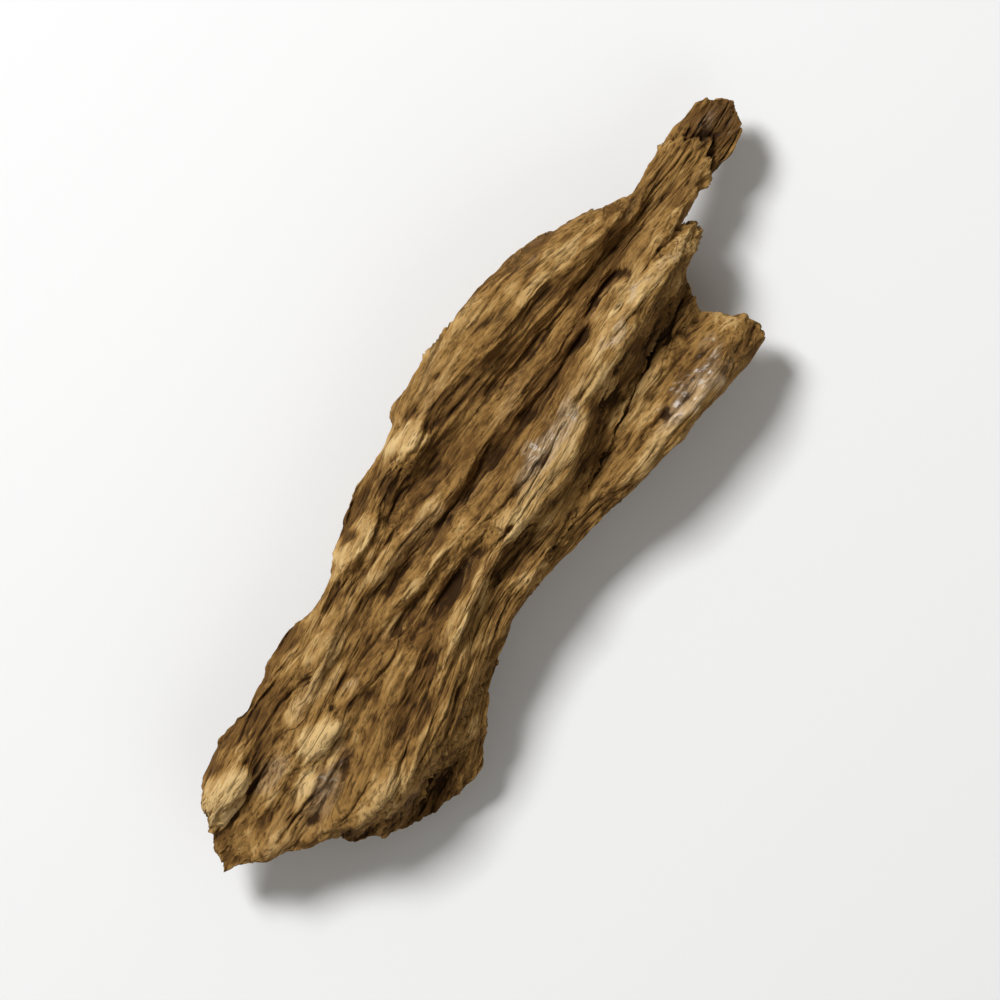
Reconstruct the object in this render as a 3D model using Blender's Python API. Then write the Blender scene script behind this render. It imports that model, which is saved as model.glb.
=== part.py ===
"""One chip of agarwood, split along the grain, lying on its flat underside.

The chip grew as one piece, so it is one closed solid. Its length runs along X, from the broken
fan-shaped end at -X to the three splinters of the forked end at +X, and +Z is up.
The shape is drawn in millimetres and set to the driving dimensions at the end.
"""

import math

import bpy
import numpy as np
from mathutils import Vector, noise
from mathutils.geometry import delaunay_2d_cdt

MM = 0.001

# Driving dimensions of the finished chip
LENGTH = 42.0 * MM
WIDTH = 13.0 * MM
THICKNESS = 6.4 * MM

# Mean colour and finish of the resinous wood
WOOD_COLOUR = (0.245, 0.135, 0.048, 1.0)
WOOD_ROUGHNESS = 0.62

# Corners of the outline seen from above, once round clockwise from the fan's tip
OUTLINE = (
    # The fan's bright lobe and the long upper side
    (-20.9, -0.7), (-20.4, 0.1), (-19.8, 1.0), (-19.1, 1.9), (-18.1, 2.7), (-16.4, 3.0), (-14.2, 2.8),
    (-12.1, 3.2), (-10.4, 3.3), (-8.8, 2.9), (-7.5, 3.0), (-5.7, 3.8), (-3.3, 4.5), (-1.0, 4.4),
    (-0.1, 4.6), (0.5, 5.2), (4.0, 5.3), (7.2, 5.2), (9.4, 4.75), (11.2, 4.05), (13.0, 3.2),
    # The long splinter
    (14.1, 2.3), (15.0, 1.75), (18.1, 1.85), (20.2, 1.85), (20.8, 1.3), (21.2, 0.7), (20.9, -0.1),
    (20.3, -0.75), (19.2, -0.9), (18.4, -0.7), (17.6, -0.85), (16.6, -0.75), (15.2, -0.85),
    # The short splinter, the hollow beside it and the lower splinter
    (15.65, -1.35), (15.4, -1.85), (14.4, -2.05), (13.5, -2.3), (12.9, -3.0), (12.5, -3.9), (12.7, -4.6),
    (13.3, -5.4), (13.6, -6.2), (13.2, -6.95), (11.8, -7.0),
    # The lower side
    (9.6, -6.75), (7.0, -6.5), (4.0, -5.95), (1.0, -5.4), (-1.4, -5.1), (-3.4, -4.95), (-5.4, -5.2),
    (-7.2, -5.9), (-8.8, -6.8),
    # The deeper layer at the fan's lower corner
    (-10.2, -7.6), (-11.1, -7.7), (-12.4, -7.3), (-13.4, -7.1), (-14.3, -6.4), (-15.4, -6.0), (-16.0, -5.2),
    (-16.9, -4.5),
    # The fan's broken end
    (-17.4, -3.6), (-18.6, -2.6), (-19.6, -2.0), (-20.3, -1.2),
)

# How the grain runs: the height Y of five fibres, from the lower side (0) to the upper side (1)
GRAIN_STATIONS = (-22.0, -16.0, -10.0, -4.0, 2.0, 8.0, 14.0, 22.0)
GRAIN_FIBRES = {
    0.00: (-11.6, -9.6, -7.4, -5.3, -5.8, -6.8, -7.2, -7.4),
    0.42: (-6.4, -5.0, -3.4, -2.3, -1.85, -1.2, -1.7, -2.6),
    0.60: (-1.9, -1.2, -0.5, -0.1, 0.1, 0.2, 0.0, -0.8),
    0.78: (0.9, 1.2, 1.6, 2.4, 2.8, 2.1, 1.2, 0.9),
    1.00: (1.8, 3.2, 3.5, 4.4, 5.5, 5.3, 3.4, 2.9),
}
GRAIN_WIDTH = 10.6

# Height of the crest along the chip, and the fall from it across the grain
CREST = ((-21.5, 4.0), (-16.0, 4.9), (-10.0, 5.4), (-4.0, 5.5), (2.0, 5.75), (8.0, 5.8), (13.0, 5.3),
         (16.0, 4.8), (21.5, 4.3))
CROSS_FALL = ((0.0, -1.1), (0.15, -0.95), (0.3, -0.65), (0.42, -0.15), (0.55, -0.5), (0.7, -0.65),
              (0.85, -0.55), (1.0, -1.15))

# Ridges, flat on top and steep at their sides: height, reach towards +Y, reach towards -Y,
# and the points of the crest line
RIDGES = (
    # The rim of the upper side and the rib beside it
    (0.35, 0.5, 0.7, ((-0.6, 4.3), (0.8, 4.85), (6.6, 4.8), (9.2, 4.25), (11.4, 3.6), (13.6, 2.4))),
    (0.50, 0.9, 0.4, ((3.4, 3.1), (6.5, 3.1), (8.5, 2.95), (10.0, 2.6), (12.0, 2.15), (13.6, 1.9),
                      (15.6, 1.3))),
    # The main ridge, a wide band that leans towards +Y and drops steeply towards -Y
    (0.90, 1.5, 0.3, ((-2.6, -2.4), (-1.0, -2.5), (0.5, -2.8), (2.5, -3.05), (4.5, -2.8), (6.0, -2.4),
                      (7.5, -2.05), (9.5, -1.85), (12.0, -1.75), (15.4, -1.75))),
    (0.30, 0.4, 0.5, ((-0.5, -1.9), (2.0, -1.4), (4.0, -1.1), (6.0, -1.1), (8.5, -0.85), (10.0, -0.7))),
    (0.35, 0.5, 0.35, ((7.5, -0.85), (10.0, -0.5), (13.0, -0.35), (15.0, -0.5), (17.6, -0.5))),
    # The ridge that carries on from it to the fan's lower corner
    (0.60, 1.0, 0.4, ((-15.2, -5.0), (-12.5, -5.1), (-10.0, -4.95), (-8.0, -4.35), (-6.5, -3.8),
                       (-5.0, -3.15), (-3.0, -2.7), (-1.2, -2.5))),
    (0.30, 0.4, 0.4, ((-10.5, -5.6), (-8.0, -5.1), (-6.4, -4.6), (-4.6, -4.2), (-3.4, -4.0))),
    # Ribs on the lower splinter
    (0.40, 0.45, 0.5, ((5.2, -3.9), (7.0, -3.8), (8.5, -3.75), (10.8, -3.6))),
    (0.80, 1.1, 0.45, ((1.8, -5.3), (3.5, -5.6), (6.0, -6.05), (9.0, -6.35), (12.0, -6.5), (13.3, -6.6))),
    (0.45, 0.45, 0.3, ((-3.6, -3.95), (-1.5, -4.6), (0.4, -5.0))),
    # Fine ribs of the middle
    (0.40, 0.5, 0.3, ((-9.0, 1.6), (-7.0, 1.45), (-4.0, 1.2), (-1.0, 0.75), (1.5, 0.8))),
    (0.28, 0.35, 0.3, ((2.6, 1.2), (5.6, 0.75), (7.0, 0.65), (9.2, 0.7))),
    (0.38, 0.45, 0.3, ((-8.5, -0.1), (-6.5, -0.2), (-4.0, -0.5), (-2.0, -0.8), (0.4, -0.9))),
    (0.30, 0.4, 0.3, ((-12.0, -1.0), (-9.0, -1.05), (-6.5, -1.05))),
    (0.32, 0.4, 0.3, ((-12.5, -2.1), (-10.0, -2.3), (-7.5, -2.2), (-5.6, -2.1))),
    # Lumps and ribs of the fan
    (0.60, 1.4, 0.25, ((-20.6, 0.65), (-18.6, 0.9), (-17.0, 0.95), (-15.0, 1.1))),
    (0.60, 1.2, 0.3, ((-16.2, -0.7), (-14.8, -0.9), (-13.0, -1.05), (-11.0, -1.2))),
    (0.40, 0.4, 0.35, ((-15.0, 0.85), (-12.8, 0.65), (-10.5, 1.0), (-8.6, 0.8))),
    (0.35, 0.7, 0.5, ((-12.8, 1.8), (-11.0, 1.65), (-9.0, 1.4), (-7.4, 1.7))),
    (0.35, 0.5, 0.4, ((-17.4, -2.0), (-15.6, -1.7), (-14.0, -1.9))),
    (0.50, 0.8, 0.35, ((-18.6, -2.6), (-17.4, -3.0), (-15.5, -3.6), (-13.5, -3.5), (-11.5, -3.1))),
    # Facets of the upper side that stand a little proud
    (0.60, 1.2, 0.3, ((-7.6, 2.3), (-5.6, 2.2), (-4.2, 2.1), (-2.4, 2.1))),
    (0.60, 1.2, 0.3, ((-2.0, 2.9), (-0.3, 2.85), (1.4, 3.1))),
)

# Grooves: depth, reach towards +Y, reach towards -Y, and the points of the bottom line
GROOVES = (
    # The long valleys of the upper half
    (0.60, 0.4, 0.9, ((-2.8, 2.3), (-0.6, 2.1), (1.0, 2.0), (3.0, 1.95), (7.0, 1.7), (11.0, 1.2),
                      (13.2, 0.9), (17.0, 0.9))),
    (0.55, 0.45, 0.55, ((-3.4, 0.3), (-1.0, 0.15), (1.0, 0.0), (3.0, -0.1), (6.0, -0.15), (8.5, 0.0),
                        (13.4, 0.5))),
    (0.35, 0.3, 0.3, ((3.0, 1.5), (6.0, 1.3), (9.0, 1.2))),
    # The deep groove under the main ridge, and its traces further left
    (0.65, 0.4, 0.5, ((1.8, -3.8), (3.5, -3.75), (4.5, -3.55), (6.0, -3.2), (8.0, -2.95), (10.5, -2.85),
                      (15.4, -2.8))),
    (0.50, 0.3, 0.4, ((-4.0, -3.3), (-2.4, -3.2), (-1.0, -3.25), (0.6, -3.6))),
    (0.35, 0.5, 0.5, ((-1.4, -4.0), (1.5, -4.3), (3.6, -4.3), (5.8, -4.5))),
    # The groove above the fan's lower ridge
    (0.55, 0.4, 0.35, ((-13.4, -3.95), (-11.0, -3.75), (-9.0, -3.4), (-7.5, -2.8), (-5.8, -2.3),
                       (-3.6, -2.0), (-1.2, -1.7), (0.5, -1.6))),
    # Grooves of the middle and of the fan
    (0.35, 0.3, 0.3, ((-8.0, 0.75), (-6.4, 0.5), (-5.0, 0.35), (-2.6, 0.4))),
    (0.40, 0.3, 0.3, ((-9.8, -0.6), (-7.5, -0.85), (-5.0, -1.1), (-3.0, -1.3))),
    (0.70, 0.4, 0.5, ((-9.0, -1.6), (-6.4, -1.65), (-4.0, -1.75), (-2.0, -1.6))),
    (0.25, 0.15, 0.25, ((-20.6, 0.35), (-19.0, 0.5), (-17.4, 0.5), (-15.6, 0.7), (-13.6, 0.8))),
    (0.35, 0.3, 0.4, ((-18.6, -0.9), (-16.8, -1.2), (-15.0, -1.3))),
    (0.35, 0.35, 0.35, ((-16.4, -2.6), (-14.4, -2.5), (-12.0, -2.4))),
    (0.35, 0.45, 0.35, ((-15.8, 2.1), (-14.2, 2.1), (-12.6, 2.2))),
)

# Pits: depth, reach along the grain, reach across it, and the place
PITS = (
    (0.55, 1.2, 0.45, (-16.9, -2.75)),
    (0.20, 1.2, 0.35, (-4.8, 0.5)),
    (0.40, 1.3, 0.5, (11.6, -3.9)),
    (0.40, 1.2, 0.5, (-2.0, 2.5)),
    (0.15, 1.4, 0.4, (3.4, -0.5)),
    (0.30, 1.4, 0.5, (-12.6, -6.5)),
)

# The ledge: where the upper layer broke off above the deeper one, its drop, and the run of the break
LEDGE_LINE = ((-17.6, -3.4), (-16.2, -4.25), (-15.0, -5.05), (-14.0, -5.35), (-12.5, -5.45), (-11.0, -5.65),
              (-9.6, -5.9), (-7.4, -6.1))
LEDGE_DROP = ((-17.6, 1.5), (-14.0, 1.6), (-11.0, 1.2), (-9.4, 0.7), (-7.4, 0.0))
LEDGE_RUN = ((-17.6, 0.3), (-14.0, 0.4), (-12.0, 0.8), (-7.4, 1.2))

# The long splinter's back layer, thinner than the front one, starts past this step
STEP_X = 18.8
STEP_MIDDLE = 0.7
STEP_BOW = 0.7
STEP_DROP = 0.6
STEP_RUN = 1.6

# The underside: how far it lifts towards the ends, and the level of its flat cut
END_LIFT = ((-21.5, 2.9), (-18.0, 1.9), (-14.0, 1.15), (-9.0, 0.45), (-3.0, 0.0), (5.0, 0.0), (10.0, 0.55),
            (14.0, 1.45), (18.0, 2.05), (21.5, 2.1))
FLAT_CUT = 0.5
LEAST_THICKNESS = 0.7

# The bevel round the underside: its slope and reach, how far the reach sways, and how often along X and Y
BEVEL_SLOPE = 0.8
BEVEL_REACH = 2.5
BEVEL_SWAY = 0.7
BEVEL_WAVES = (0.4, 0.25)

# Rounding of the upper edge, in height and in reach from the outline
EDGE_ROUND = 0.25
EDGE_REACH = 0.3

# How flat a ridge's top is, and how round a groove's bottom
RIDGE_POWER = 3.0
GROOVE_POWER = 2.0

# A ridge or groove fades out over this length, or over this share of a short one
FADE_LENGTH = 2.8
FADE_SHARE = 0.4

# Relief of the lumps and the fibre bundles: height, width across the grain, length along it, and seed
FIBRES_TOP = ((0.08, 1.8, 2.8, 29.0), (0.12, 0.95, 5.0, 11.0), (0.10, 0.5, 2.6, 18.3))
FIBRES_UNDER = ((0.26, 1.5, 9.0, 47.0), (0.14, 0.8, 5.0, 54.3))

# Split layers that overlap like shingles: height, width and length of a layer, how far its edge wanders,
# the share of its width that the drop at its edge takes, and seed
LAYERS = ((0.20, 1.3, 10.0, 0.8, 0.2, 31.0), (0.13, 0.66, 6.0, 0.9, 0.3, 38.5))

# Widths of the waves in a layer's edge and in its strength, in layer widths, the mean strength, and its seed
EDGE_WAVE = 3.0
STRENGTH_WAVE = 2.0
STRENGTH_MEAN = 0.5
STRENGTH_SEED = 1.7

# Bundles and layers are fainter on the long splinter: from where, over what run, and the share left
FAINT_FROM = 13.5
FAINT_RUN = 3.5
FAINT_SHARE = 0.4

# Spacing of the points along and across the grain, and how far inner ones stay from the edge, in rows
TOP_SPACING = (0.8, 0.19)
UNDER_SPACING = (1.4, 0.5)
EDGE_SPACING = (0.8, 0.35)
CLEAR_OF_EDGE = 0.6

# How far a point strays along its row, in spacings, and the seeds of that for the two faces
STRAY = 0.35
STRAY_STEP = 3.7
TOP_SEED = 5.0
UNDER_SEED = 9.0

# Torn fibres at the broken ends: how far they stand out, their length and width, and the seed
TORN_ENDS = 0.3
TORN_GRAIN = (5.0, 0.45)
TORN_SEED = 3.0

# The side walls: rows between the two edges, undercut, relief, and the size of the relief along X, Y and Z
WALL_ROWS = 5
UNDERCUT = 0.7
UNDERCUT_CURVE = 1.5
WALL_RELIEF = 0.4
WALL_GRAIN = (7.0, 0.9, 1.3)

# A wall moves in or out by no more than these shares of the free distance there
SHARE_INWARD = 0.16
SHARE_OUTWARD = 0.2
FREE_DISTANCE = 9.0

# Points to either side over which the outline's direction, the least free distance and its mean are taken
DIRECTION_SPAN = 2
LEAST_SPAN = 3
MEAN_SPAN = 2

SHARP_EDGE = math.radians(40)


def clear_scene():
    for thing in list(bpy.data.objects):
        bpy.data.objects.remove(thing, do_unlink=True)


def curve(points, x):
    """Height at x of a smooth line through the points, which run from left to right."""
    xs, ys = np.array(points, float).T
    slopes = np.gradient(ys, xs)
    k = np.clip(np.searchsorted(xs, x) - 1, 0, len(xs) - 2)
    run = xs[k + 1] - xs[k]
    t = np.clip((x - xs[k]) / run, 0.0, 1.0)
    start = ys[k] * (1 + 2 * t) + run * slopes[k] * t
    end = ys[k + 1] * (3 - 2 * t) + run * slopes[k + 1] * (t - 1)
    return start * (1 - t) ** 2 + end * t ** 2


def smooth(t):
    """A soft step from 0 to 1."""
    t = np.clip(t, 0.0, 1.0)
    return t * t * (3 - 2 * t)


def rough(x, y, z):
    """Smooth random values between about -1 and 1, the same on each run."""
    places = np.broadcast(x, y, z)
    return 2.0 * np.array([noise.noise(place) for place in places])


def fibre_heights(x):
    """Y of the grain's five guide fibres at each x, one row for each fibre."""
    return np.array([curve(tuple(zip(GRAIN_STATIONS, ys)), x) for ys in GRAIN_FIBRES.values()])


def across_grain(x, y):
    """Where a point lies across the grain, from 0 at the lower side to 1 at the upper side."""
    marks = np.array(list(GRAIN_FIBRES))
    guides = fibre_heights(x)
    return np.array([np.interp(py, guides[:, i], marks) for i, py in enumerate(y)])


def along_fibre(mark, x):
    """Y at each x of the fibre that lies at that mark across the grain."""
    marks = np.array(list(GRAIN_FIBRES))
    guides = fibre_heights(x)
    return np.array([np.interp(mark, marks, guides[:, i]) for i in range(len(x))])


def rib(x, y, reach_up, reach_down, line, power):
    """A long bump along a line, with its own reach on each side, fading out at both ends."""
    off = y - curve(line, x)
    reach = np.where(off > 0, reach_up, reach_down)
    first, last = line[0][0], line[-1][0]
    fade = min(FADE_LENGTH, FADE_SHARE * (last - first))
    ends = smooth((x - first) / fade) * smooth((last - x) / fade)
    return np.exp(-np.abs(off / reach) ** power) * ends


def bundles(x, y, layers):
    """Relief of the fibre bundles, long along the grain and narrow across it."""
    across = across_grain(x, y) * GRAIN_WIDTH
    return sum(height * rough(across / wide, x / long, seed) for height, wide, long, seed in layers)


def layers(x, y):
    """Relief of the split layers: each one slopes gently up towards -Y and then drops off at its edge."""
    across = across_grain(x, y) * GRAIN_WIDTH
    relief = np.zeros(len(x))
    for height, wide, long, wander, drop, seed in LAYERS:
        wave = rough(across / (EDGE_WAVE * wide), x / long, seed)
        place = (wander * wave - across / wide) % 1.0
        rise = np.where(place < 1 - drop, place / (1 - drop), (1 - place) / drop)
        patches = rough(across / (STRENGTH_WAVE * wide), x / long, seed + STRENGTH_SEED)
        relief += height * smooth(STRENGTH_MEAN + patches) * rise
    return relief


def edge_distance(x, y, outline):
    """Distance from each point to the outline."""
    step = np.roll(outline, -1, axis=0) - outline
    p = np.stack([x, y], axis=1)[:, None, :]
    t = np.clip(((p - outline) * step).sum(2) / (step ** 2).sum(1), 0.0, 1.0)
    nearest = outline + t[:, :, None] * step
    return np.sqrt(((p - nearest) ** 2).sum(2)).min(1)


def inside(x, y, outline):
    """True for the points within the outline."""
    ax, ay = outline.T
    bx, by = np.roll(outline, -1, axis=0).T
    crosses = (ay > y[:, None]) != (by > y[:, None])
    with np.errstate(divide="ignore", invalid="ignore"):
        where = ax + (y[:, None] - ay) * (bx - ax) / (by - ay)
    return (crosses & (x[:, None] < where)).sum(1) % 2 == 1


def ledge(x, y):
    """How far the surface lies below the upper layer, past the ledge."""
    past = (curve(LEDGE_LINE, x) - y) / curve(LEDGE_RUN, x)
    drop = curve(LEDGE_DROP, x) * smooth(past)
    return np.where(x < LEDGE_LINE[-1][0], drop, 0.0)


def splinter_step(x, y):
    """The step down to the back layer of the long splinter."""
    edge = STEP_X - STEP_BOW * (y - STEP_MIDDLE) ** 2
    return STEP_DROP * smooth(0.5 + (x - edge) / STEP_RUN)


def top_height(x, y, distance):
    """Height of the upper face, where distance is how far a point lies from the outline."""
    z = curve(CREST, x) + curve(CROSS_FALL, across_grain(x, y))
    for height, reach_up, reach_down, line in RIDGES:
        z += height * rib(x, y, reach_up, reach_down, line, RIDGE_POWER)
    for depth, reach_up, reach_down, line in GROOVES:
        z -= depth * rib(x, y, reach_up, reach_down, line, GROOVE_POWER)
    for depth, reach_along, reach_across, (px, py) in PITS:
        z -= depth * np.exp(-((x - px) / reach_along) ** 2 - ((y - py) / reach_across) ** 2)
    faint = 1 - (1 - FAINT_SHARE) * smooth((x - FAINT_FROM) / FAINT_RUN)
    z += faint * (bundles(x, y, FIBRES_TOP) + layers(x, y))
    z -= ledge(x, y) + splinter_step(x, y)
    return z - EDGE_ROUND * np.exp(-(distance / EDGE_REACH) ** 2)


def under_height(x, y, distance, roof):
    """Height of the underside: flat in the middle, lifting to the edges, and below the upper face."""
    sway = np.sin(BEVEL_WAVES[0] * x + BEVEL_WAVES[1] * y)
    bevel = BEVEL_SLOPE * np.maximum(BEVEL_REACH + BEVEL_SWAY * sway - distance, 0.0)
    lift = curve(END_LIFT, x) + bevel + bundles(x, y, FIBRES_UNDER) - FLAT_CUT
    return np.minimum(np.maximum(lift, 0.0), np.maximum(roof - LEAST_THICKNESS, 0.0))


def outline_points():
    """The outline with points at a steady spacing, torn a little where it crosses the grain."""
    corners = np.array(OUTLINE, float)
    points = []
    for a, b in zip(corners, np.roll(corners, -1, axis=0)):
        along, across = np.abs(b - a)
        count = max(1, round(along / EDGE_SPACING[0] + across / EDGE_SPACING[1]))
        points += [a + (b - a) * i / count for i in range(count)]
    points = np.array(points)
    tangent = np.roll(points, -1, axis=0) - np.roll(points, 1, axis=0)
    crossing = np.abs(tangent[:, 1]) / np.hypot(*tangent.T)
    tear = rough(points[:, 0] / TORN_GRAIN[0], points[:, 1] / TORN_GRAIN[1], TORN_SEED)
    points[:, 0] += TORN_ENDS * tear * crossing ** 2
    return points


def outward(points):
    """Unit normals of the outline, pointing out."""
    tangent = np.roll(points, -DIRECTION_SPAN, axis=0) - np.roll(points, DIRECTION_SPAN, axis=0)
    normal = np.stack([-tangent[:, 1], tangent[:, 0]], axis=1)
    return normal / np.hypot(*normal.T)[:, None]


def cross(a, b):
    return a[..., 0] * b[..., 1] - a[..., 1] * b[..., 0]


def room(points, normals):
    """Free distance from each point of the outline, straight along its normal, to the rest of it."""
    side = np.roll(points, -1, axis=0) - points
    reach = np.full(len(points), FREE_DISTANCE)
    for i, (point, normal) in enumerate(zip(points, normals)):
        gap = points - point
        with np.errstate(divide="ignore", invalid="ignore"):
            far = cross(gap, side) / cross(normal, side)
            share = cross(gap, normal) / cross(normal, side)
        hit = (far > 0) & (share >= 0) & (share <= 1)
        hit[[i, i - 1]] = False
        reach[i] = min(reach[i], far[hit].min(initial=FREE_DISTANCE))
    return reach


def eased(values):
    """The least of each value and its neighbours round the ring, softened."""
    least = np.min([np.roll(values, shift) for shift in range(-LEAST_SPAN, LEAST_SPAN + 1)], axis=0)
    return np.mean([np.roll(least, shift) for shift in range(-MEAN_SPAN, MEAN_SPAN + 1)], axis=0)


def wall_rings(outline, rim, sill):
    """Rows of points down the side walls, from the rim's height to the sill's."""
    normals = outward(outline)
    ahead, behind = np.roll(normals, -DIRECTION_SPAN, axis=0), np.roll(normals, DIRECTION_SPAN, axis=0)
    bend = (ahead * behind).sum(1).clip(0.0, 1.0)
    inner = eased(bend * np.minimum(UNDERCUT, SHARE_INWARD * room(outline, -normals)))
    outer = eased(bend * np.minimum(WALL_RELIEF, SHARE_OUTWARD * room(outline, normals)))
    rings = []
    for down in np.linspace(0.0, 1.0, WALL_ROWS + 1):
        z = rim + (sill - rim) * down
        grain = rough(outline[:, 0] / WALL_GRAIN[0], outline[:, 1] / WALL_GRAIN[1], z / WALL_GRAIN[2])
        bulge = math.sin(math.pi * down) * np.where(grain > 0, outer, inner) * grain
        push = bulge - inner * down ** UNDERCUT_CURVE
        rings.append(np.column_stack([outline + normals * push[:, None], z]))
    return rings


def grain_points(outline, spacing, seed):
    """Points inside the outline, in rows that follow the grain."""
    long, wide = spacing
    count = round(GRAIN_WIDTH / wide)
    rows = []
    for row in range(1, count):
        x = np.arange(outline[:, 0].min(), outline[:, 0].max(), long) + (row % 2) * long / 2
        stray = STRAY * long * rough(row * STRAY_STEP, x, seed) / 2
        rows.append(np.column_stack([x + stray, along_fibre(row / count, x)]))
    points = np.concatenate(rows)
    x, y = points.T
    keep = inside(x, y, outline) & (edge_distance(x, y, outline) > CLEAR_OF_EDGE * wide)
    return points[keep]


def triangles(ring, points, spacing):
    """Triangles over a ring and the points inside it, kept long along the grain."""
    flat = np.concatenate([ring, points]) * (1.0, spacing[0] / spacing[1])
    edges = [(i, (i + 1) % len(ring)) for i in range(len(ring))]
    result = delaunay_2d_cdt([Vector(p) for p in flat], edges, [], 1, 1e-6)
    assert len(result[0]) == len(flat), "the ring crosses itself"
    return [tuple(face) for face in result[2]]


def shifted(faces, size, ring_start, inner_start):
    """The faces with the ring's points and the inner points numbered as in the whole mesh."""
    return [[i + ring_start if i < size else i - size + inner_start for i in face] for face in faces]


def wall_faces(size):
    """Triangles between neighbouring rows of the side walls, with the diagonals alternating."""
    faces = []
    for row in range(WALL_ROWS):
        for i in range(size):
            a, b = row * size + i, row * size + (i + 1) % size
            c, d = a + size, b + size
            faces += [(a, b, d), (a, d, c)] if (row + i) % 2 else [(a, b, c), (b, d, c)]
    return faces


def build_chip():
    """Vertices and faces of the chip in millimetres."""
    outline = outline_points()
    on_edge = np.zeros(len(outline))
    rim = top_height(*outline.T, on_edge)
    sill = under_height(*outline.T, on_edge, rim)
    rings = wall_rings(outline, rim, sill)

    top = grain_points(outline, TOP_SPACING, TOP_SEED)
    top_z = top_height(*top.T, edge_distance(*top.T, outline))

    base = rings[-1][:, :2]
    under = grain_points(base, UNDER_SPACING, UNDER_SEED)
    distance = edge_distance(*under.T, base)
    under_z = under_height(*under.T, distance, top_height(*under.T, distance))

    size = len(outline)
    top_start = size * len(rings)
    top_faces = triangles(outline, top, TOP_SPACING)
    under_faces = [face[::-1] for face in triangles(base, under, UNDER_SPACING)]
    faces = shifted(top_faces, size, 0, top_start)
    faces += shifted(under_faces, size, size * WALL_ROWS, top_start + len(top))
    faces += wall_faces(size)
    vertices = rings + [np.column_stack([top, top_z]), np.column_stack([under, under_z])]
    return np.concatenate(vertices), faces


def set_to_size(vertices):
    """Scales the chip to its driving dimensions, with the origin under the middle of its box."""
    low, high = vertices.min(0), vertices.max(0)
    middle = (low + high) / 2
    centred = vertices - (middle[0], middle[1], low[2])
    return centred * (np.array((LENGTH, WIDTH, THICKNESS)) / (high - low))


def wood_material():
    material = bpy.data.materials.new("agarwood")
    material.use_nodes = True
    shader = material.node_tree.nodes["Principled BSDF"]
    shader.inputs["Base Color"].default_value = WOOD_COLOUR
    shader.inputs["Roughness"].default_value = WOOD_ROUGHNESS
    shader.inputs["Metallic"].default_value = 0.0
    return material


def main():
    clear_scene()
    vertices, faces = build_chip()
    mesh = bpy.data.meshes.new("agarwood_chip")
    mesh.from_pydata(set_to_size(vertices).tolist(), [], faces)
    mesh.shade_smooth()
    mesh.set_sharp_from_angle(angle=SHARP_EDGE)
    mesh.materials.append(wood_material())
    chip = bpy.data.objects.new("agarwood_chip", mesh)
    bpy.context.scene.collection.objects.link(chip)


main()
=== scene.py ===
import math

import bmesh
import bpy
import numpy as np
from mathutils import Matrix, Vector, noise


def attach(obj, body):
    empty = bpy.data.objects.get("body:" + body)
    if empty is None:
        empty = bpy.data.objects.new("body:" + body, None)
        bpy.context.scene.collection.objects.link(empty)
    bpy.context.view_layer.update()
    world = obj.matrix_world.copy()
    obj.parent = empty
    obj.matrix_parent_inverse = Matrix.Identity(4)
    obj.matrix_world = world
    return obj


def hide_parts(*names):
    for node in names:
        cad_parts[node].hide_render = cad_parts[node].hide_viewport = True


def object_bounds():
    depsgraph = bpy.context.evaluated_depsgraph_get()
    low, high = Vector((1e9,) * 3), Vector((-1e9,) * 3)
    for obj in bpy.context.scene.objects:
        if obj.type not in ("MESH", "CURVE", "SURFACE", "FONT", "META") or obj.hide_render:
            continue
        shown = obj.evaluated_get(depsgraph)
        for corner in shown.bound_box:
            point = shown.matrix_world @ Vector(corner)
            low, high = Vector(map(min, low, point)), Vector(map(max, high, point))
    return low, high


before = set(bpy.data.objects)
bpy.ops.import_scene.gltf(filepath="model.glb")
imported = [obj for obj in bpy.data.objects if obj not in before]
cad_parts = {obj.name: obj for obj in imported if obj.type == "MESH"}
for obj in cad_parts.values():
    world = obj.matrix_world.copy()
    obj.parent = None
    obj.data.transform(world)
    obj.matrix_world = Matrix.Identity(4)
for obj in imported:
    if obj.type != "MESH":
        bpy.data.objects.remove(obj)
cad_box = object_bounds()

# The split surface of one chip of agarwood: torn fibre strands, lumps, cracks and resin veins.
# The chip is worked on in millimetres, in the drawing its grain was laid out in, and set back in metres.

MM = 0.001
NODE = "agarwood_chip"

# Where the frame's origin lies in the drawing of the chip, in millimetres
DRAWING_SHIFT = (0.15, -1.2, 0.0)

# The grain: height Y of five fibres along X, from the lower side (0) to the upper side (1), in millimetres
GRAIN_STATIONS = (-22.0, -16.0, -10.0, -4.0, 2.0, 8.0, 14.0, 22.0)
GRAIN_FIBRES = {
    0.00: (-11.6, -9.6, -7.4, -5.3, -5.8, -6.8, -7.2, -7.4),
    0.42: (-6.4, -5.0, -3.4, -2.3, -1.85, -1.2, -1.7, -2.6),
    0.60: (-1.9, -1.2, -0.5, -0.1, 0.1, 0.2, 0.0, -0.8),
    0.78: (0.9, 1.2, 1.6, 2.4, 2.8, 2.1, 1.2, 0.9),
    1.00: (1.8, 3.2, 3.5, 4.4, 5.5, 5.3, 3.4, 2.9),
}

# How wide the grain counts from the lower side to the upper side, in millimetres
GRAIN_WIDTH = 10.6

# The mesh: vertices closer than this are one, and edges of the flat underside longer than this are halved,
# in millimetres and in so many rounds. Then all faces are divided this many times.
WELD = 0.001
FLAT_EDGE = 1.3
FLAT_ROUNDS = 5
FINE_LEVELS = 2

# Edges that bend more than the first angle stay crisp, fully so past the second one
CRISP_BENDS = (math.radians(38), math.radians(75))

# How far the surface faces up on the upper side, or endways on the broken ends: where each begins and is full
UPPER_FACING = (-0.2, 0.4)
END_FACING = (0.3, 0.7)

# Numbers that give places side by side unlike values
SCATTER = (12.9898, 78.233, 37.719)
SCATTER_GAIN = 43758.5453

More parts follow.
